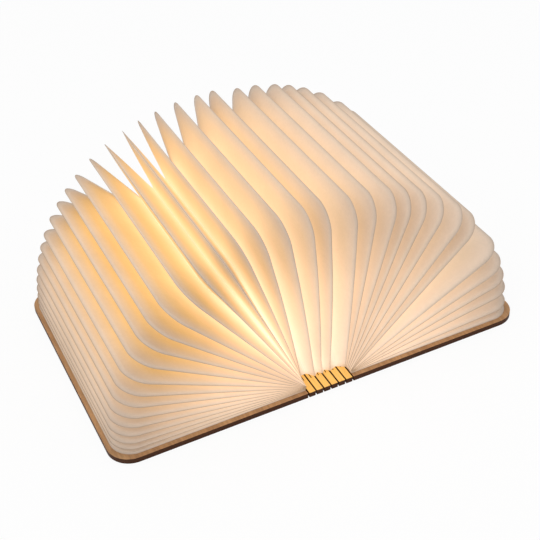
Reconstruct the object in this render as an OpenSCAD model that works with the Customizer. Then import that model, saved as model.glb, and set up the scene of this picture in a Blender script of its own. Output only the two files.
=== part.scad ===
// Folding book lamp, standing open and flat with its paper fan spread over half a turn.
// Origin: bottom centre of the open lamp. X runs along the front edge, Y runs back along the
// spine, Z is up. Sizes are millimetres.

/* [Cover boards] */
// Width of one cover, from its fore edge to the middle of the first spine cut
cover_w = 153.1; // [120:0.1:200]
// Depth of the covers and the spine, front edge to back edge
cover_d = 215; // [150:1:280]
// Thickness of the board
board_t = 4.4; // [3.5:0.1:6]
// Radius of the outer corners of the covers
cover_corner_r = 18.5; // [8:0.5:30]

/* [Spine] */
// Number of cuts across which the spine bends
cut_count = 7; // [7:1:7]
// Distance between the middles of two cuts
cut_pitch = 6.3; // [5.8:0.1:8]
// Width of one cut
cut_w = 1.2; // [1.1:0.05:1.4]
// Radius of the round bridges that are left standing in the cuts
bridge_r = 1.3; // [1:0.05:1.5]
// Length of one bridge
bridge_len = 8; // [5:0.5:12]
// Radial clearance round a bridge
bridge_gap = 0.08; // [0.03:0.01:0.1]
// Radial clearance round the bridges of the middle cut
centre_gap = 0.45; // [0.25:0.05:0.45]
// Bridges along one cut
bridge_count = 4; // [2:1:6]
// Width of the short relief slits inside each slat
slit_w = 0.6; // [0.4:0.1:1]
// Distance from the front edge to the first relief slit
slit_setback = 14; // [10:1:30]
// Solid length between two relief slits
slit_bridge = 9; // [6:0.5:14]
// Relief slits along one slat
slit_count = 4; // [2:1:6]

/* [Paper fan] */
// Thickness of one folded sheet
page_t = 0.18; // [0.12:0.01:0.2]
// Air between two sheets when the book is shut
page_gap = 0.1; // [0.08:0.01:0.12]
// Thickness of the sheets pasted to the covers
endpaper_t = 0.3; // [0.2:0.05:0.5]
// Distance from the fore edge of a cover to the fore edge of the paper
fore_inset = 3.5; // [2:0.5:8]
// Distance from the front and back edges of a cover to the paper
end_inset = 3.9; // [2:0.1:8]
// Radius of the outer corners of the paper
page_corner_r = 17.5; // [8:0.5:25]
// Distance from the root line of the paper to the nearest spine slat
root_gap = 0.2; // [0.1:0.05:0.5]
// Extra width of the three middle sheets, measured from the spine itself
middle_extra_w = 8.4; // [4:0.1:10]
// Height above the board of the lower edges of the outer two middle sheets
middle_lift = 4.6; // [4:0.1:6]
// Distance from the top of the light bar to the lower edge of the centre sheet
centre_lift = 5.8; // [5.7:0.1:10]
// Distance that the middle sheets' roots stay back from the front and back edges
middle_setback = 13; // [10:1:40]
// The same for the last sheet on the left, measured from the front edge of the paper
left_setback = 12; // [0:1:14]
// The same for the first sheet on the right
right_setback = 6; // [0:1:14]
// Number of sheets over which those two setbacks die away
setback_run = 5; // [1:1:8]

/* [Light bar] */
// Width of the light bar
bar_w = 7; // [6.5:0.1:7.4]
// Length of the light bar without its end caps
bar_len = 150; // [100:1:160]
// Width of the foot that stands on the slat left of the middle cut
foot_w = 3.6; // [3:0.1:4.4]
// Height of the foot that lifts the bar off the slats
foot_h = 1.8; // [1.5:0.1:2.5]
// Height of the tray above its foot
tray_h = 5.4; // [5:0.1:6]
// Height of the frosted lens over the tray
lens_h = 2.2; // [1.6:0.1:2.4]
// Wall of the tray and the lens
bar_wall = 0.8; // [0.6:0.05:1]
// Distance from the front end of the bar to the cell
cell_front = 15; // [5:1:30]
// Distance from the rear end of the bar to the front of the switch sensor
sensor_inset = 24; // [18:1:30]
// Length left free between the cell and the sensor
sensor_gap = 11; // [3:1:20]
// Length of one end cap
cap_len = 4; // [3:0.5:6]
// Clearance between pieces that are assembled into each other
fit_gap = 0.1; // [0.05:0.01:0.15]
// Number of light emitting diodes
led_count = 12; // [6:1:20]
// Diameter of a tray screw
screw_d = 1.6; // [1.2:0.1:2]
// Diameter of the tray screw's head
screw_head_d = 3.2; // [2.5:0.1:3.6]
// Radial clearance of the screw's thread in the tray
thread_gap = 0.02; // [0.01:0.01:0.05]

/* [Magnets] */
// Diameter of the magnets that hold the covers together
magnet_d = 8; // [5:0.5:12]
// Thickness of those magnets
magnet_t = 2; // [1:0.1:2.5]
// Distance of those magnets from the fore edge
magnet_inset = 14; // [10:1:30]
// Distance of those magnets from the front and back edges
magnet_end = 34; // [25:1:60]
// Diameter of the small magnet that works the light switch
switch_magnet_d = 4; // [3:0.5:6]

/* [Hidden] */
// Directions of the sheets seen from the front, in degrees above +X, from left to right
left_angles = [178.3, 176, 173.2, 170, 166.5, 162.5, 158.5, 154, 148.5, 143.2, 138.2, 132.8,
    126.1, 119.7, 113, 107.3, 101.4];
middle_angles = [98.5, 94, 91.3];
right_angles = [87.4, 81.2, 74.4, 69.3, 63.6, 56.8, 48.3, 41.7, 27.5, 20, 14.2, 9, 3.2];
left_n = len(left_angles);
middle_n = len(middle_angles);
right_n = len(right_angles);

half_d = cover_d / 2;
slat_n = cut_count - 1;
spine_w = slat_n * cut_pitch;
open_half = cover_w + spine_w / 2;
axis_z = board_t / 2;

page_pitch = page_t + page_gap;
root_x = spine_w / 2 + cut_w / 2 + root_gap;
root_z = board_t + endpaper_t + page_gap + page_t / 2;
page_w = open_half - fore_inset - root_x;
page_half_d = half_d - end_inset;

bar_half = bar_len / 2;
bar_x = -cut_pitch / 2;
bar_floor = board_t + foot_h;
tray_top = bar_floor + tray_h;
bar_top = tray_top + lens_h;
// The three middle sheets clear the slats and the bar when the spine is curled either way
side_start = axis_z + middle_lift;
centre_start = bar_top - axis_z + centre_lift;
middle_start = [side_start, centre_start, side_start];
board_led_t = 0.8;
led_t = 0.7;
cell_h = tray_h - bar_wall - board_led_t - 2 * fit_gap;
cavity_w = bar_w - 2 * bar_wall;

wood = [0.75, 0.6, 0.44];
paper = [0.95, 0.88, 0.76];
plastic = [0.92, 0.92, 0.9];

// Middle of spine cut k, counted from 0 on the left
function cut_x(k) = -spine_w / 2 + k * cut_pitch;

// Root point of the next sheet in a stack: one pitch square to the sheet before it
function stack_root(angles, i) =
    i == 0 ? [0, 0] : stack_root(angles, i - 1) + page_pitch * [sin(angles[i - 1]), -cos(angles[i - 1])];

// The same stack counted from the right-hand cover, as mirrored angles
right_mirrored = [for (i = [0:right_n - 1]) 180 - right_angles[right_n - 1 - i]];

// A body drawn in the X-Y plane and raised by h
module slab(h) linear_extrude(height = h) children();

// Bridges along a cut at x = 0, with a radius and a length
module bridges(r, len) {
    step = cover_d / bridge_count;
    for (i = [0:bridge_count - 1])
        translate([0, -half_d + (i + 0.5) * step - len / 2, axis_z])
            rotate([-90, 0, 0]) cylinder(r = r, h = len, $fn = 48);
}

module bridge_pockets(gap) bridges(bridge_r + gap, bridge_len + 2 * gap);

// One cover, drawn for the right-hand side
module cover_outline() {
    x0 = spine_w / 2 + cut_w / 2;
    x1 = open_half;
    r = cover_corner_r;
    union() {
        translate([x0, -half_d]) square([x1 - r - x0, cover_d]);
        translate([x0, -half_d + r]) square([x1 - x0, cover_d - 2 * r]);
        for (s = [-1, 1]) translate([x1 - r, s * (half_d - r)]) circle(r = r, $fn = 96);
    }
}

module magnet_places() {
    for (s = [-1, 1]) translate([open_half - magnet_inset, s * (half_d - magnet_end), 0]) children();
}

module magnet_pocket(d) translate([0, 0, board_t - magnet_t]) cylinder(d = d, h = magnet_t + 1, $fn = 48);

module left_cover() {
    color(wood) difference() {
        mirror([1, 0, 0]) difference() {
            slab(board_t) cover_outline();
            magnet_places() magnet_pocket(magnet_d + 2 * fit_gap);
        }
        translate([cut_x(0), 0, 0]) bridge_pockets(bridge_gap);
    }
}

switch_magnet_x = spine_w / 2 + cut_w / 2 + switch_magnet_d;

module right_cover() {
    color(wood) union() {
        difference() {
            slab(board_t) cover_outline();
            magnet_places() magnet_pocket(magnet_d + 2 * fit_gap);
            translate([switch_magnet_x, 0, 0]) magnet_pocket(switch_magnet_d + 2 * fit_gap);
        }
        translate([cut_x(slat_n), 0, 0]) bridges(bridge_r, bridge_len);
    }
}

// Relief slits along the middle of one slat
module relief_slits() {
    run = cover_d - 2 * slit_setback;
    len = (run - (slit_count - 1) * slit_bridge) / slit_count;
    for (i = [0:slit_count - 1])
        translate([-slit_w / 2, -run / 2 + i * (len + slit_bridge), -1]) cube([slit_w, len, board_t + 2]);
}

// Places of the tray screws, on the solid lengths between the relief slits
module screw_places() {
    run = cover_d - 2 * slit_setback;
    step = (run + slit_bridge) / slit_count;
    for (i = [1:slit_count - 1]) translate([bar_x, -run / 2 + i * step - slit_bridge / 2, 0]) children();
}

// Countersunk screw seen from below: head at the outer face of the board, shank going up
module screw_shape(gap) {
    rim = 0.3;
    r0 = screw_head_d / 2 + gap;
    r1 = screw_d / 2 + gap;
    z0 = gap > 0 ? -1 : 0;
    z1 = rim + (screw_head_d - screw_d) / 2;
    rotate_extrude($fn = 48)
        polygon([[0, z0], [r0, z0], [r0, rim], [r1, z1], [r1, bar_floor], [0, bar_floor]]);
}

module slat(j) {
    color(wood) difference() {
        union() {
            translate([cut_x(j - 1) + cut_w / 2, -half_d, 0]) cube([cut_pitch - cut_w, cover_d, board_t]);
            translate([cut_x(j - 1), 0, 0]) bridges(bridge_r, bridge_len);
        }
        translate([cut_x(j), 0, 0]) bridge_pockets(2 * j == slat_n ? centre_gap : bridge_gap);
        translate([cut_x(j - 0.5), 0, 0]) relief_slits();
        if (j == 3) screw_places() screw_shape(fit_gap);
    }
}

module endpaper() {
    r = page_corner_r;
    x1 = open_half - fore_inset;
    color(paper) translate([0, 0, board_t]) slab(endpaper_t) union() {
        translate([root_x, -page_half_d]) square([x1 - r - root_x, 2 * page_half_d]);
        translate([root_x, -page_half_d + r]) square([x1 - root_x, 2 * (page_half_d - r)]);
        for (s = [-1, 1]) translate([x1 - r, s * (page_half_d - r)]) circle(r = r, $fn = 96);
    }
}

// A sheet in its own plane: u runs out from the root, v runs along the spine
module sheet_outline(u0, u1, root_half) {
    r = page_corner_r;
    h = page_half_d;
    k = h - root_half;
    union() {
        polygon([[u0, -root_half], [u0 + 2 * k, -h], [u1 - r, -h], [u1 - r, h], [u0 + 2 * k, h], [u0, root_half]]);
        translate([u1 - r - 1, -h + r]) square([r + 1, 2 * (h - r)]);
        for (s = [-1, 1]) translate([u1 - r, s * (h - r)]) circle(r = r, $fn = 96);
    }
}

// A sheet turned to its direction about a line along Y through (x, z)
module sheet(x, z, angle, u0, u1, root_half) {
    color(paper) translate([x, 0, z]) rotate([0, -angle, 0])
        translate([0, 0, -page_t / 2]) slab(page_t) sheet_outline(u0, u1, root_half);
}

// Half the root length of the sheet that is k sheets away from the middle ones
function side_root_half(k, setback) = page_half_d - setback * max(0, 1 - k / setback_run);

module left_page(i) {
    q = stack_root(left_angles, i);
    sheet(-root_x + q[0], root_z + q[1], left_angles[i], 0, page_w,
        side_root_half(left_n - 1 - i, left_setback));
}

module right_page(i) {
    q = stack_root(right_mirrored, right_n - 1 - i);
    sheet(root_x - q[0], root_z + q[1], right_angles[i], 0, page_w,
        side_root_half(i, right_setback));
}

module middle_page(i) {
    sheet(cut_x(i + 2), axis_z, middle_angles[i], middle_start[i], page_w + middle_extra_w,
        half_d - middle_setback);
}

module page(i) {
    if (i <= left_n) left_page(i - 1);
    else if (i <= left_n + middle_n) middle_page(i - left_n - 1);
    else right_page(i - left_n - middle_n - 1);
}

module light_tray() {
    color(plastic) difference() {
        union() {
            translate([bar_x - bar_w / 2, -bar_half, bar_floor]) cube([bar_w, bar_len, tray_h]);
            translate([bar_x - foot_w / 2, -bar_half, board_t]) cube([foot_w, bar_len, foot_h]);
        }
        translate([bar_x - cavity_w / 2, -bar_half - 1, bar_floor + bar_wall]) cube([cavity_w, bar_len + 2, tray_h]);
        screw_places() cylinder(r = screw_d / 2 + thread_gap, h = bar_floor, $fn = 48);
    }
}

module light_lens() {
    color([1, 0.97, 0.88]) translate([bar_x, bar_half, tray_top]) rotate([90, 0, 0])
        slab(bar_len) difference() {
            translate([-bar_w / 2, 0]) square([bar_w, lens_h]);
            translate([-cavity_w / 2, -1]) square([cavity_w, lens_h - bar_wall + 1]);
        }
}

board_led_z = tray_top - board_led_t;
module led_board() {
    color([0.95, 0.95, 0.93]) translate([bar_x - cavity_w / 2 + fit_gap, -bar_half + 1, board_led_z])
        cube([cavity_w - 2 * fit_gap, bar_len - 2, board_led_t]);
}

module leds() {
    step = (bar_len - 10) / led_count;
    color([1, 0.9, 0.5]) for (i = [0:led_count - 1])
        translate([bar_x - 1.4, -bar_half + 5 + (i + 0.5) * step - 1.4, tray_top]) cube([2.8, 2.8, led_t]);
}

module battery() {
    cell_len = bar_len - cell_front - sensor_inset - sensor_gap;
    color([0.6, 0.62, 0.66])
        translate([bar_x - cavity_w / 2 + fit_gap, -bar_half + cell_front, bar_floor + bar_wall])
            cube([cavity_w - 2 * fit_gap, cell_len, cell_h]);
}

module hall_sensor() {
    color([0.1, 0.1, 0.1]) translate([bar_x - 1.5, bar_half - sensor_inset, board_led_z - 1])
        cube([3, 4, 1]);
}

inlet_w = 2.8;
inlet_h = 7.4;
inlet_z = (board_t + foot_h + bar_top - fit_gap) / 2;

module inlet_outline(gap) {
    square([inlet_w + 2 * gap, inlet_h + 2 * gap], center = true);
}

module end_cap_block(y) {
    translate([bar_x - bar_w / 2, y, bar_floor]) cube([bar_w, cap_len, bar_top - bar_floor]);
}

module front_end_cap() {
    color(plastic) end_cap_block(-bar_half - cap_len);
}

module rear_end_cap() {
    color(plastic) difference() {
        end_cap_block(bar_half);
        translate([bar_x, bar_half + cap_len + 1, inlet_z]) rotate([90, 0, 0]) slab(cap_len + 2) inlet_outline(fit_gap);
    }
}

module charge_socket() {
    wall = 0.3;
    color([0.75, 0.76, 0.78]) translate([bar_x, bar_half + cap_len, inlet_z]) rotate([90, 0, 0]) union() {
        slab(cap_len) difference() {
            inlet_outline(0);
            square([inlet_w - 2 * wall, inlet_h - 2 * wall], center = true);
        }
        translate([0, 0, cap_len - wall]) slab(wall) inlet_outline(0);
        translate([0, 0, wall]) slab(cap_len - wall) square([0.7, inlet_h - 2.4], center = true);
    }
}

module tray_screws() {
    color([0.7, 0.7, 0.72]) screw_places() screw_shape(0);
}

module magnet_disc(d) {
    color([0.72, 0.73, 0.75]) translate([0, 0, board_t - magnet_t]) cylinder(d = d, h = magnet_t, $fn = 48);
}

module right_magnets() magnet_places() magnet_disc(magnet_d);

module left_magnets() mirror([1, 0, 0]) magnet_places() magnet_disc(magnet_d);

module switch_magnet() translate([switch_magnet_x, 0, 0]) magnet_disc(switch_magnet_d);

left_cover();
right_cover();
mirror([1, 0, 0]) endpaper();  // left_endpaper
endpaper();  // right_endpaper
for (j = [1:slat_n]) slat(j);
for (i = [1:left_n + middle_n + right_n]) page(i);
light_tray();
light_lens();
led_board();
leds();
battery();
hall_sensor();
charge_socket();
front_end_cap();
rear_end_cap();
tray_screws();
left_magnets();
right_magnets();
switch_magnet();
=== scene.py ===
import math

import bpy
import numpy as np
from mathutils import Matrix, Vector


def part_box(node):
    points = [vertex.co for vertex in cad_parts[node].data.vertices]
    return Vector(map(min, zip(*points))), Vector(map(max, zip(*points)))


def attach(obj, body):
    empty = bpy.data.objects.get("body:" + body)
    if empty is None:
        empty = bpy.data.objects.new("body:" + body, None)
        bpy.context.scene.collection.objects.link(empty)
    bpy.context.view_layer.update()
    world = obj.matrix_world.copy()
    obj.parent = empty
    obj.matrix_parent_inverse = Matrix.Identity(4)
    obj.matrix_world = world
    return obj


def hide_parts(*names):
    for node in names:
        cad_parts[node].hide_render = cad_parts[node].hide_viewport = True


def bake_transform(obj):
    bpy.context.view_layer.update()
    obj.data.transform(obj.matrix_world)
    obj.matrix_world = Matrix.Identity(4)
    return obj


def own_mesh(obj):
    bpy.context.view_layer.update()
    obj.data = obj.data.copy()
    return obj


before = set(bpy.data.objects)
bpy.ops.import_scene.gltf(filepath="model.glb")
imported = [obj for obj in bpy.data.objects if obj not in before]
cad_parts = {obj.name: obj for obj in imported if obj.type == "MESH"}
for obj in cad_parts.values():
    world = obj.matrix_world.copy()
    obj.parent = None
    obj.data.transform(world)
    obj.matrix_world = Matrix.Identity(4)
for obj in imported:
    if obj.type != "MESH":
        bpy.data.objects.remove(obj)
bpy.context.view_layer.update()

MM = 0.001
SCENE = bpy.context.scene

# The camera as fitted to the photograph
CAM_PLACE = Vector((-283.15, -628.92, 573.32)) * MM
CAM_AZIMUTH = math.radians(-24.47)
CAM_ELEVATION = math.radians(37.68)
CAM_ROLL = math.radians(-2.78)
FOCAL_PX = 1086.43
IMAGE_PX = 540
SENSOR_MM = 36.0
CLIP_NEAR, CLIP_FAR = 0.02, 30.0


def add_camera():
    back = Vector((math.sin(CAM_AZIMUTH) * math.cos(CAM_ELEVATION),
                   -math.cos(CAM_AZIMUTH) * math.cos(CAM_ELEVATION),
                   math.sin(CAM_ELEVATION)))
    right = (-back).cross(Vector((0, 0, 1))).normalized()
    up = right.cross(-back)
    c, s = math.cos(CAM_ROLL), math.sin(CAM_ROLL)
    right, up = right * c + up * s, up * c - right * s
    turn = Matrix((right, up, back)).transposed().to_4x4()
    data = bpy.data.cameras.new("camera")
    data.sensor_width = SENSOR_MM
    data.lens = FOCAL_PX * SENSOR_MM / IMAGE_PX
    data.clip_start, data.clip_end = CLIP_NEAR, CLIP_FAR
    camera = bpy.data.objects.new("camera", data)
    camera.matrix_world = Matrix.Translation(CAM_PLACE) @ turn
    SCENE.collection.objects.link(camera)
    SCENE.camera = camera


add_camera()


def new_material(name):
    m = bpy.data.materials.new(name)
    m.use_nodes = True
    m.node_tree.nodes.clear()
    return m, m.node_tree


def put(node, name, value):
    node.inputs[name].default_value = value


def link(tree, a, b):
    tree.links.new(a, b)


def math_node(tree, operation, a, b=None):
    node = tree.nodes.new("ShaderNodeMath")
    node.operation = operation
    for i, x in enumerate((a, b)):
        if x is None:
            continue
        if isinstance(x, (int, float)):
            node.inputs[i].default_value = x
        else:
            link(tree, x, node.inputs[i])
    return node.outputs[0]


def mix_colour(tree, factor, a, b, kind="MIX"):
    node = tree.nodes.new("ShaderNodeMix")
    node.data_type = "RGBA"
    node.blend_type = kind
    for socket, x in ((node.inputs[0], factor), (node.inputs[6], a), (node.inputs[7], b)):
        if isinstance(x, (int, float)):
            socket.default_value = x
        elif isinstance(x, tuple):
            socket.default_value = (*x, 1.0)
        else:
            link(tree, x, socket)
    return node.outputs[2]


def ramp(tree, factor, stops):
    """Grey steps along a factor, from (position, value) pairs."""
    node = tree.nodes.new("ShaderNodeValToRGB")
    elements = node.color_ramp.elements
    while len(elements) < len(stops):
        elements.new(0.5)
    for e, (at, value) in zip(elements, stops):
        e.position = at
        e.color = (value, value, value, 1.0)
    link(tree, factor, node.inputs[0])
    return node.outputs[0]


def attribute(tree, name):
    node = tree.nodes.new("ShaderNodeAttribute")
    node.attribute_name = name
    return node.outputs["Fac"]


def coordinates(tree, scale=(1, 1, 1)):
    """The object's own coordinates, scaled, and the node that gives them."""
    where = tree.nodes.new("ShaderNodeTexCoord")
    mapping = tree.nodes.new("ShaderNodeMapping")
    put(mapping, "Scale", scale)
    link(tree, where.outputs["Object"], mapping.inputs["Vector"])
    return mapping.outputs[0], where


def noise(tree, vector, scale, detail=3.0, rough=0.5, distortion=0.0):
    node = tree.nodes.new("ShaderNodeTexNoise")
    put(node, "Scale", scale)
    put(node, "Detail", detail)
    put(node, "Roughness", rough)
    put(node, "Distortion", distortion)
    link(tree, vector, node.inputs["Vector"])
    return node.outputs["Fac"]


def bump(tree, height, strength, distance):
    node = tree.nodes.new("ShaderNodeBump")
    put(node, "Strength", strength)
    put(node, "Distance", distance)
    link(tree, height, node.inputs["Height"])
    return node.outputs[0]


def shader(tree, roughness=0.5, metallic=0.0, specular=0.5):
    node = tree.nodes.new("ShaderNodeBsdfPrincipled")
    put(node, "Roughness", roughness)
    put(node, "Metallic", metallic)
    put(node, "Specular IOR Level", specular)
    out = tree.nodes.new("ShaderNodeOutputMaterial")
    link(tree, node.outputs[0], out.inputs["Surface"])
    return node


# Paper, and the light that shines through it
PAPER = (0.65, 0.53, 0.44)
PAPER_DIM = (0.59, 0.475, 0.385)
GLOW_PALE = (0.99, 0.78, 0.57)
GLOW_AMBER = (1.0, 0.58, 0.08)
GLOW_CREAM = (1.0, 0.84, 0.63)
# The ridge band is coloured darker than the paper beside it: painted shade along each crease line
RIDGE_SHADED = (0.55, 0.435, 0.34)
RIDGE_SHADED_DIM = (0.47, 0.365, 0.28)
RIDGE_GLOW = (0.20, 0.13, 0.06)

# Noise: scale, detail, roughness, distortion. Bump: strength, depth in metres
PAPER_CLOUD = 38, 4, 0.55
PAPER_FIBRE = 420, 5, 0.6, 0.6
PAPER_STRAND = 1500, 3, 0.6, 1.2
PAPER_BUMP = 0.35, 0.12 * MM
RIDGE_CLOUD = 90, 4, 0.6
RIDGE_FIBRE = 900, 4, 0.6
RIDGE_BUMP = 0.4, 0.1 * MM

# Steps down a fold, from the ridge at 0 to the bottom of the valley at 1
# The first steps darken the paper's own colour next to the ridge: painted shade in the crease
CREASE_PAINTED_SHADE = [(0.0, 0.78), (0.03, 0.93), (0.10, 1.0)]
AMBER_SHARE = [(0.05, 0.2), (0.35, 1.0)]
CREAM_SHARE = [(0.25, 0.0), (0.9, 0.85)]
GLOW_LEVEL = [(0.0, 0.28), (0.05, 0.41), (0.3, 0.56), (0.8, 0.69), (1.0, 0.73)]
GLOW_UNEVEN, GLOW_LEAST = 0.16, 0.92


def paper_glow(t, cloud):
    """The lamp's light on the inside of a fold, by depth, nearness and warmth."""
    depth = attribute(t, "fold_depth")
    near = attribute(t, "lamp_near")
    warm = attribute(t, "lamp_warm")
    amber = math_node(t, "MULTIPLY", warm, ramp(t, depth, AMBER_SHARE))
    hue = mix_colour(t, amber, GLOW_PALE, GLOW_AMBER)
    not_warm = math_node(t, "SUBTRACT", 1.0, math_node(t, "MULTIPLY", warm, 0.5))
    cream = math_node(t, "MULTIPLY", ramp(t, depth, CREAM_SHARE), not_warm)
    hue = mix_colour(t, cream, hue, GLOW_CREAM)
    power = math_node(t, "MULTIPLY", ramp(t, depth, GLOW_LEVEL), near)
    uneven = math_node(t, "ADD", math_node(t, "MULTIPLY", cloud, GLOW_UNEVEN), GLOW_LEAST)
    power = math_node(t, "MULTIPLY", power, uneven)
    return depth, mix_colour(t, 1.0, hue, power, "MULTIPLY")


def paper_surface(name, glowing):
    m, t = new_material(name)
    s = shader(t, roughness=0.72, specular=0.25)
    where, _ = coordinates(t)
    cloud = noise(t, where, *PAPER_CLOUD)
    fibre = noise(t, where, *PAPER_FIBRE)
    strand = noise(t, where, *PAPER_STRAND)
    mottled = mix_colour(t, cloud, PAPER_DIM, PAPER)
    fine = ramp(t, fibre, [(0.35, 0.94), (0.7, 1.0)])
    base = mix_colour(t, 1.0, mottled, fine, "MULTIPLY")
    height = math_node(t, "ADD", fibre, math_node(t, "MULTIPLY", strand, 0.5))
    link(t, bump(t, height, *PAPER_BUMP), s.inputs["Normal"])
    if glowing:
        depth, light = paper_glow(t, cloud)
        # Painted shade: the paper's colour is darkened next to the ridge, in the crease
        base = mix_colour(t, 1.0, base, ramp(t, depth, CREASE_PAINTED_SHADE), "MULTIPLY")
        link(t, light, s.inputs["Emission Color"])
        put(s, "Emission Strength", 1.0)
    link(t, base, s.inputs["Base Color"])
    return m


def ridge_surface():
    m, t = new_material("ridge_paper")
    s = shader(t, roughness=0.75, specular=0.2)
    where, _ = coordinates(t)
    cloud = noise(t, where, *RIDGE_CLOUD)
    # Painted shade: the ridge band's colour is darker than the paper's
    link(t, mix_colour(t, cloud, RIDGE_SHADED_DIM, RIDGE_SHADED), s.inputs["Base Color"])
    light = mix_colour(t, 1.0, RIDGE_GLOW, attribute(t, "lamp_near"), "MULTIPLY")
    link(t, light, s.inputs["Emission Color"])
    put(s, "Emission Strength", 0.6)
    link(t, bump(t, noise(t, where, *RIDGE_FIBRE), *RIDGE_BUMP), s.inputs["Normal"])
    return m


FOLD_PAPER = paper_surface("fold_paper", True)
FLAT_PAPER = paper_surface("flat_paper", False)
RIDGE_PAPER = ridge_surface()

# The fan: ridges follow the CAD pages, and a paper valley hangs between each two of them
PAGES = 33
MIDDLE = MIDDLE_LEFT, CENTRE, MIDDLE_RIGHT = 18, 19, 20
SHEET_T = 0.18 * MM
FOLD_T = 0.06 * MM
CORNER = 17.5 * MM
RIDGE_BAND = 0.45 * MM
RIDGE_BEVEL = 0.6

# The valley's depth from the ridges, at its corners and at the front roots
VALLEY = 38 * MM
VALLEY_CORNER = 10 * MM
ROOT_VALLEY = 3 * MM
SOFT_VALLEY = 0.16

# How far out the edges lean back from the front, how far the valley closes to its root,
# and how far over the slats the middle folds end
LEAN_REACH, LEAN_POWER = 105 * MM, 1.6
CLOSE_REACH, CLOSE_POWER = 60 * MM, 1.5
FOOT_GAP = 1.2 * MM

FRONT_STEPS, CORNER_STEPS, FORE_STEPS, ACROSS = 30, 16, 34, 20

# Reading a page's mesh: rounds to find its tilt, its top band and the reach of its root
TILT_ROUNDS = 6
TOP_BAND = 0.2
ROOT_NEAR = 0.5 * MM


def read_page(n):
    """Where page n leaves the spine, its direction and its size, from its CAD solid."""
    node = f"page_{n}"
    lo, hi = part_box(node)
    vertices = [v.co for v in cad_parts[node].data.vertices]
    dx, dz = hi.x - lo.x, hi.z - lo.z
    along, rise = dx, dz
    for _ in range(TILT_ROUNDS):
        tilt = math.atan2(rise, along)
        along = max(dx - SHEET_T * math.sin(tilt), 0.0)
        rise = dz - SHEET_T * math.cos(tilt)
    tilt = math.atan2(rise, along)
    tall = [p.x for p in vertices if p.z > hi.z - TOP_BAND * dz]
    left = sum(tall) / len(tall) < (lo.x + hi.x) / 2
    half_x, half_z = SHEET_T / 2 * math.sin(tilt), SHEET_T / 2 * math.cos(tilt)
    x0 = hi.x - half_x if left else lo.x + half_x
    z0 = lo.z + half_z
    low = [p.y for p in vertices if math.hypot(p.x - x0, p.z - z0) < ROOT_NEAR]
    over_slats = z0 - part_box("slat_3")[1].z - FOOT_GAP
    return dict(body=node, root=(x0, z0), angle=math.pi - tilt if left else tilt,
                width=math.hypot(along, rise), half=hi.y, root_half=max(low),
                foot=over_slats if n in MIDDLE else 0.0)


def read_board(side):
    """The glued end sheet as the first or the last page of the fan."""
    lo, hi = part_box(f"{side}_endpaper")
    left = side == "left"
    return dict(body=f"{side}_cover", root=(hi.x if left else lo.x, hi.z + SHEET_T / 3),
                angle=math.pi if left else 0.0, width=hi.x - lo.x,
                half=hi.y, root_half=hi.y, foot=0.0)


PAGE = [read_board("left")] + [read_page(n) for n in range(1, PAGES + 1)] + [read_board("right")]


def long_edge(page, inset, corner, root_inset, foot):
    """(u, distance from the middle) along a page's front or back edge, root to corner."""
    far, half = page["width"] - inset, page["half"]
    u = np.linspace(-foot, far - corner, FRONT_STEPS, endpoint=False)
    lean = np.clip(1 - u.clip(0) / LEAN_REACH, 0, 1) ** LEAN_POWER
    closing = np.clip(1 - (u + foot) / CLOSE_REACH, 0, 1) ** CLOSE_POWER
    drawn_in = inset - (inset - root_inset) * closing
    bend = np.linspace(0, math.pi / 2, CORNER_STEPS, endpoint=False)
    reach = np.concatenate([u, far - corner + corner * np.sin(bend)])
    v = np.concatenate([half - drawn_in - (half - page["root_half"]) * lean,
                        half - inset - corner + corner * np.cos(bend)])
    return np.stack([reach, v], 1)


def outline(page, inset, corner, root_inset=None):
    """(u, v) points round a page from its front root to its back root, in by inset.

    At the front the paper closes on the slats; at the back it stays open for the inlet.
    """
    near_root = inset if root_inset is None else root_inset
    front = long_edge(page, inset, corner, near_root, page["foot"]) * (1, -1)
    back = long_edge(page, inset, corner, inset, 0.0)[::-1]
    v = np.linspace(-1, 1, FORE_STEPS) * (page["half"] - inset - corner)
    fore = np.stack([np.full_like(v, page["width"] - inset), v], 1)
    return np.concatenate([front, fore, back])


def place(root, angle, uv):
    """Points (u, v) of a page, set in the frame."""
    return np.stack([root[0] + uv[:, 0] * math.cos(angle), uv[:, 1],
                     root[1] + uv[:, 0] * math.sin(angle)], 1)


def strips(rows, count, wrap):
    """Faces between rows of count points; the last row joins the first if they wrap."""
    return [(i * count + k, i * count + k + 1,
             (i + 1) % rows * count + k + 1, (i + 1) % rows * count + k)
            for i in range(rows if wrap else rows - 1) for k in range(count - 1)]


def make_mesh(name, points, faces, material, smooth=True):
    mesh = bpy.data.meshes.new(name)
    mesh.from_pydata([tuple(p) for p in points], [], faces)
    mesh.update()
    mesh.polygons.foreach_set("use_smooth", [smooth] * len(mesh.polygons))
    mesh.materials.append(material)
    piece = bpy.data.objects.new(name, mesh)
    SCENE.collection.objects.link(piece)
    return piece


def set_values(piece, name, values):
    layer = piece.data.attributes.new(name, "FLOAT", "POINT")
    layer.data.foreach_set("value", np.asarray(values, np.float32).ravel())


# The lamp's light on the paper, by the distance u out from the root and v from the middle
BAR_LIT = 50 * MM
BAR_FADE = 54 * MM
LIGHT_PEAK, LIGHT_REACH = 1.12, 215 * MM
FULL_OUT = 150 * MM
CORNER_DIM, OUT_DIM, OUT_DIM_LEFT = 0.75, 0.12, 0.10
MOUTH_DIM, MOUTH_U, MOUTH_V, MOUTH_FADE = 0.25, 40 * MM, 70 * MM, 25 * MM
LOW_GAIN = 0.30
WARM_LEAST, WARM_U, WARM_V = 0.28, 120 * MM, 90 * MM
LOW_WASH, WASH_LEAST = 0.8, 0.4

# Where sheets count as lying low or as being on the left: start and run, as angles
LOW_LIGHT = math.radians(50), math.radians(25)
LOW_WARM = math.radians(64), math.radians(20)
FLAT_LEFT = math.radians(154), math.radians(20)
LEFT_WARM = math.radians(60), math.radians(60)


def share_of(value, start, run):
    """0 up to start, 1 from start + run."""
    return np.clip((value - start) / run, 0, 1)


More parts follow.
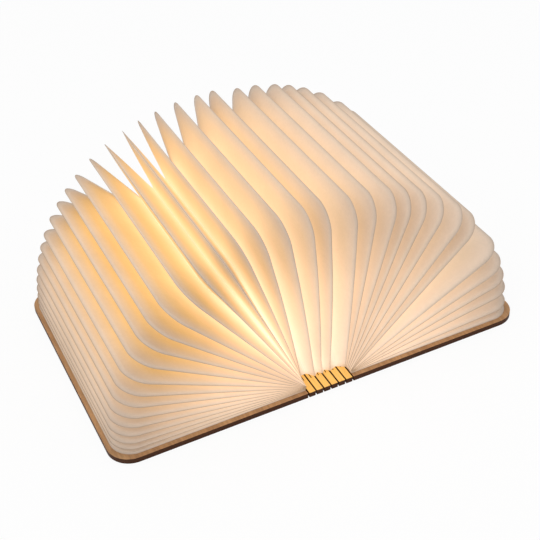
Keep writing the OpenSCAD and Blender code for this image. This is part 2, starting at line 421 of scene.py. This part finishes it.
def lamp_near(u, v, angle):
    """How much of the lamp's light reaches a place on the paper."""
    aside = np.abs(v)
    out = share_of(u, 0, FULL_OUT)
    reach = np.hypot(u, np.maximum(aside - BAR_LIT, 0))
    near = LIGHT_PEAK * np.exp(-(reach / LIGHT_REACH) ** 2)
    low = share_of(abs(angle - math.pi / 2), *LOW_LIGHT)
    mouth = np.exp(-(u / MOUTH_U) ** 2) * share_of(aside, MOUTH_V, MOUTH_FADE)
    corner = 1 - CORNER_DIM * share_of(aside, BAR_LIT, BAR_FADE) ** 1.5 * out ** 2
    far = 1 - (OUT_DIM + OUT_DIM_LEFT * share_of(angle, *FLAT_LEFT)) * out ** 3
    return near * corner * far * (1 + LOW_GAIN * low * (1 - out ** 4)) * (1 - MOUTH_DIM * mouth)


def lamp_warm(u, v, angle):
    """How amber the light is: most on the left, least by the spine and on the right."""
    left = max(share_of(angle, *LEFT_WARM), WARM_LEAST)
    low = share_of(abs(angle - math.pi / 2), *LOW_WARM)
    washed = LOW_WASH * low * np.clip(np.abs(v) / WARM_V, WASH_LEAST, 1)
    return left * share_of(u, 0, WARM_U) ** 1.3 * (1 - washed)


def add_fold(n):
    """The paper valley between page n and page n + 1."""
    a, b = PAGE[n], PAGE[n + 1]
    t = np.linspace(0, 1, ACROSS + 1)
    bent = np.sqrt((2 * t - 1) ** 2 + SOFT_VALLEY ** 2)
    depth = (bent[0] - bent) / (bent[0] - SOFT_VALLEY)
    outer = [outline(p, 0.0, CORNER) for p in (a, b)]
    inner = [outline(p, VALLEY, VALLEY_CORNER, ROOT_VALLEY) for p in (a, b)]
    rows, near, warm = [], [], []
    for share, d in zip(t, depth):
        edge = outer[0] * (1 - share) + outer[1] * share
        deep = inner[0] * (1 - share) + inner[1] * share
        uv = edge * (1 - d) + deep * d
        root = [a["root"][i] * (1 - share) + b["root"][i] * share for i in (0, 1)]
        angle = a["angle"] * (1 - share) + b["angle"] * share
        rows.append(place(root, angle, uv))
        near.append(lamp_near(uv[:, 0], uv[:, 1], angle))
        warm.append(lamp_warm(uv[:, 0], uv[:, 1], angle))
    count = len(rows[0])
    piece = make_mesh(f"fold_{n}", np.concatenate(rows), strips(ACROSS + 1, count, False), FOLD_PAPER)
    set_values(piece, "fold_depth", np.repeat(depth, count))
    set_values(piece, "lamp_near", near)
    set_values(piece, "lamp_warm", warm)
    thick = piece.modifiers.new("sheet", "SOLIDIFY")
    thick.thickness = FOLD_T
    thick.offset = 0.0
    return piece, np.repeat(t, count)


def add_ridge(n):
    """The pressed outer crease of page n, a narrow band round its edge."""
    page = dict(PAGE[n], foot=0.0)
    root, angle = page["root"], page["angle"]
    outer, inner = outline(page, 0.0, CORNER), outline(page, RIDGE_BAND, CORNER - RIDGE_BAND)
    normal = np.array([-math.sin(angle), 0.0, math.cos(angle)]) * SHEET_T / 2
    rings = [place(root, angle, outer) + normal * RIDGE_BEVEL,
             place(root, angle, inner) + normal,
             place(root, angle, inner) - normal,
             place(root, angle, outer) - normal * RIDGE_BEVEL]
    count = len(outer)
    faces = strips(4, count, True)
    faces += [tuple(i * count for i in range(4)), tuple(i * count + count - 1 for i in (3, 2, 1, 0))]
    piece = make_mesh(f"ridge_{n}", np.concatenate(rings), faces, RIDGE_PAPER)
    set_values(piece, "lamp_near", np.tile(lamp_near(outer[:, 0], outer[:, 1], angle), 4))
    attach(piece, page["body"])
    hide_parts(page["body"])


def bend_fold(piece):
    """The fold's placement is baked into its mesh; it is attached to neither page."""
    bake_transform(piece)


def flatten_fold(piece, n):
    """The fold rides on page n, attached to its body."""
    page = PAGE[n]
    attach(piece, page["body"])
    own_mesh(piece)


for n in range(1, PAGES + 1):
    add_ridge(n)
for n in range(PAGES + 1):
    piece, share = add_fold(n)
    if n == MIDDLE_LEFT:
        bend_fold(piece)
    elif n == CENTRE:
        bend_fold(piece)
    elif n == MIDDLE_LEFT - 1:
        flatten_fold(piece, MIDDLE_LEFT)
    elif n == MIDDLE_RIGHT:
        flatten_fold(piece, MIDDLE_RIGHT)
    else:
        bend_fold(piece)

# Wood: pale faces and sides charred by the cutting
WOOD_PALE = (0.56, 0.33, 0.16)
WOOD_DARK = (0.46, 0.25, 0.12)
SLAT_PALE = (0.76, 0.42, 0.12)
SLAT_DARK = (0.66, 0.34, 0.09)
# Painted light: the slats' flat faces glow with the lamp's light leaking from under the paper
SLAT_GLOW = (0.37, 0.24, 0.06)
CHAR = (0.046, 0.016, 0.006)
CHAR_PALER, PORE_DARKER, PORE_SHARE = 1.8, 0.55, 0.45
ALONG_GRAIN = (1.0, 0.10, 1.0)
CHAR_STREAKS = (1.0, 1.0, 6.0)
WOOD_BROAD = 55, 4, 0.55, 0.8
WOOD_GRAIN = 420, 5, 0.65, 0.4
WOOD_PORES = 1500, 3, 0.6
CHAR_NOISE = 160, 4, 0.6
WOOD_BUMP = 0.45, 0.15 * MM


def scaled(colour, share):
    return tuple(share * c for c in colour)


def wood_surface(name, pale, dark, glow=None):
    m, t = new_material(name)
    s = shader(t, roughness=0.48, specular=0.15)
    where, coords = coordinates(t, ALONG_GRAIN)
    broad = noise(t, where, *WOOD_BROAD)
    grain = noise(t, where, *WOOD_GRAIN)
    pores = noise(t, where, *WOOD_PORES)
    tone = mix_colour(t, ramp(t, broad, [(0.3, 0.0), (0.7, 1.0)]), dark, pale)
    veins = math_node(t, "MULTIPLY", ramp(t, grain, [(0.42, 1.0), (0.62, 0.0)]), PORE_SHARE)
    tone = mix_colour(t, veins, tone, scaled(dark, PORE_DARKER))
    split = t.nodes.new("ShaderNodeSeparateXYZ")
    link(t, coords.outputs["Normal"], split.inputs[0])
    facing = math_node(t, "ABSOLUTE", split.outputs[2])
    side, _ = coordinates(t, CHAR_STREAKS)
    soot = mix_colour(t, noise(t, side, *CHAR_NOISE), CHAR, scaled(CHAR, CHAR_PALER))
    tone = mix_colour(t, ramp(t, facing, [(0.45, 1.0), (0.85, 0.0)]), tone, soot)
    link(t, tone, s.inputs["Base Color"])
    if glow:
        # Painted light: where given, the flat faces glow with the lamp's light
        light = mix_colour(t, ramp(t, facing, [(0.5, 0.0), (0.9, 1.0)]), (0.0, 0.0, 0.0), glow)
        link(t, light, s.inputs["Emission Color"])
        put(s, "Emission Strength", 1.0)
    height = math_node(t, "ADD", grain, math_node(t, "MULTIPLY", pores, 0.6))
    link(t, bump(t, height, *WOOD_BUMP), s.inputs["Normal"])
    link(t, ramp(t, grain, [(0.3, 0.58), (0.7, 0.42)]), s.inputs["Roughness"])
    return m


# The light bar's small pieces
PLASTIC_GRAIN = 1800, 3, 0.6
PLASTIC_CLOUD = 60, 3
PLASTIC_BUMP = 0.25, 0.06 * MM
METAL_SCRATCH = 900, 4, 0.6
METAL_BUMP = 0.15, 0.04 * MM
FROST_GRAIN = 700, 3, 0.6
FROST_BUMP = 0.2, 0.05 * MM


def plastic(name, colour, roughness, speckle=0.06):
    m, t = new_material(name)
    s = shader(t, roughness=roughness, specular=0.5)
    where, _ = coordinates(t)
    cloud = noise(t, where, *PLASTIC_CLOUD)
    link(t, mix_colour(t, cloud, scaled(colour, 1 - speckle), colour), s.inputs["Base Color"])
    link(t, bump(t, noise(t, where, *PLASTIC_GRAIN), *PLASTIC_BUMP), s.inputs["Normal"])
    return m


def metal(name, colour, roughness):
    m, t = new_material(name)
    s = shader(t, roughness=roughness, metallic=1.0)
    where, _ = coordinates(t)
    scratch = noise(t, where, *METAL_SCRATCH)
    link(t, mix_colour(t, scratch, scaled(colour, 0.86), colour), s.inputs["Base Color"])
    link(t, ramp(t, scratch, [(0.3, roughness + 0.1), (0.7, roughness)]), s.inputs["Roughness"])
    link(t, bump(t, scratch, *METAL_BUMP), s.inputs["Normal"])
    return m


def glowing(name, colour, light, strength, roughness=0.4):
    m, t = new_material(name)
    s = shader(t, roughness=roughness, specular=0.4)
    where, _ = coordinates(t)
    grain = noise(t, where, *FROST_GRAIN)
    link(t, mix_colour(t, grain, scaled(colour, 0.93), colour), s.inputs["Base Color"])
    link(t, mix_colour(t, grain, scaled(light, 0.92), light), s.inputs["Emission Color"])
    put(s, "Emission Strength", strength)
    link(t, bump(t, grain, *FROST_BUMP), s.inputs["Normal"])
    return m


WOOD = wood_surface("board_wood", WOOD_PALE, WOOD_DARK)
SLAT_WOOD = wood_surface("slat_wood", SLAT_PALE, SLAT_DARK, SLAT_GLOW)
WHITE = plastic("white_plastic", (0.80, 0.78, 0.73), 0.42)
BLACK = plastic("black_plastic", (0.03, 0.03, 0.032), 0.38)
LENS = glowing("frosted_lens", (0.82, 0.76, 0.62), (1.0, 0.82, 0.50), 0.9)
LED = glowing("led_chip", (0.85, 0.70, 0.25), (1.0, 0.85, 0.45), 1.6, 0.3)
GREEN = plastic("circuit_board", (0.02, 0.16, 0.07), 0.35, 0.2)
CELL = plastic("cell_wrap", (0.08, 0.20, 0.42), 0.3, 0.1)
STEEL = metal("screw_steel", (0.62, 0.61, 0.59), 0.28)
NICKEL = metal("magnet_nickel", (0.70, 0.68, 0.63), 0.18)

LOOKS = {
    WOOD: ("left_cover", "right_cover"),
    SLAT_WOOD: tuple(f"slat_{i}" for i in range(1, 7)),
    FLAT_PAPER: ("left_endpaper", "right_endpaper"),
    WHITE: ("light_tray", "front_end_cap", "rear_end_cap"),
    LENS: ("light_lens",),
    LED: ("leds",),
    GREEN: ("led_board",),
    CELL: ("battery",),
    BLACK: ("hall_sensor",),
    STEEL: ("tray_screws", "charge_socket"),
    NICKEL: ("left_magnets", "right_magnets", "switch_magnet"),
}
for material, nodes in LOOKS.items():
    for name in nodes:
        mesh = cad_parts[name].data
        mesh.materials.clear()
        mesh.materials.append(material)

# Floor, world and lamps, in metres and watts
FLOOR_SIZE = 4.0
FLOOR_DROP = 0.02 * MM
FLOOR_GREY = (0.86, 0.86, 0.86, 1)
FLOOR_WHITE_SHARE = 0.92
WHITE_LIGHT = (1, 1, 1, 1)
WORLD_TINT = (0.96, 0.97, 1.0, 1)
WORLD_STRENGTH = 0.50
LAMP_TARGET = (0, 0, 0.06)
LAMPS = [
    ("key", (-1.3, -0.9, 1.8), 1.4, 19, (1.0, 0.98, 0.95)),
    ("fill", (1.6, -1.0, 1.3), 1.6, 7, (0.95, 0.97, 1.0)),
    ("top", (0.1, 0.5, 2.2), 1.6, 9, (1.0, 1.0, 1.0)),
]


def mix_shaders(tree, share, a, b, out):
    mixed = tree.nodes.new("ShaderNodeMixShader")
    link(tree, share, mixed.inputs[0])
    link(tree, a.outputs[0], mixed.inputs[1])
    link(tree, b.outputs[0], mixed.inputs[2])
    link(tree, mixed.outputs[0], out.inputs["Surface"])


def add_floor():
    m, t = new_material("floor_paint")
    out = t.nodes.new("ShaderNodeOutputMaterial")
    dull = t.nodes.new("ShaderNodeBsdfDiffuse")
    put(dull, "Color", FLOOR_GREY)
    bright = t.nodes.new("ShaderNodeEmission")
    put(bright, "Color", WHITE_LIGHT)
    put(bright, "Strength", 1.0)
    path = t.nodes.new("ShaderNodeLightPath")
    seen = math_node(t, "MULTIPLY", path.outputs["Is Camera Ray"], FLOOR_WHITE_SHARE)
    mix_shaders(t, seen, dull, bright, out)
    corners = [(x * FLOOR_SIZE, y * FLOOR_SIZE, 0) for x, y in ((-1, -1), (1, -1), (1, 1), (-1, 1))]
    floor = make_mesh("floor", corners, [(0, 1, 2, 3)], m, smooth=False)
    floor.location.z = -FLOOR_DROP


def add_world():
    world = bpy.data.worlds.new("world")
    SCENE.world = world
    world.use_nodes = True
    t = world.node_tree
    t.nodes.clear()
    out = t.nodes.new("ShaderNodeOutputWorld")
    soft = t.nodes.new("ShaderNodeBackground")
    put(soft, "Color", WORLD_TINT)
    put(soft, "Strength", WORLD_STRENGTH)
    white = t.nodes.new("ShaderNodeBackground")
    put(white, "Color", WHITE_LIGHT)
    put(white, "Strength", 1.0)
    path = t.nodes.new("ShaderNodeLightPath")
    through = math_node(t, "MAXIMUM", path.outputs["Is Glossy Ray"],
                        path.outputs["Is Transmission Ray"])
    seen = math_node(t, "MAXIMUM", path.outputs["Is Camera Ray"], through)
    mix_shaders(t, seen, soft, white, out)


def add_lamp(name, at, size, power, colour):
    data = bpy.data.lights.new(name, "AREA")
    data.shape = "DISK"
    data.size = size
    data.energy = power
    data.color = colour
    lamp = bpy.data.objects.new(name, data)
    lamp.location = at
    aim = Vector(LAMP_TARGET) - Vector(at)
    lamp.rotation_euler = aim.to_track_quat("-Z", "Y").to_euler()
    SCENE.collection.objects.link(lamp)


add_floor()
add_world()
for lamp in LAMPS:
    add_lamp(*lamp)

SCENE.view_settings.view_transform = "Standard"
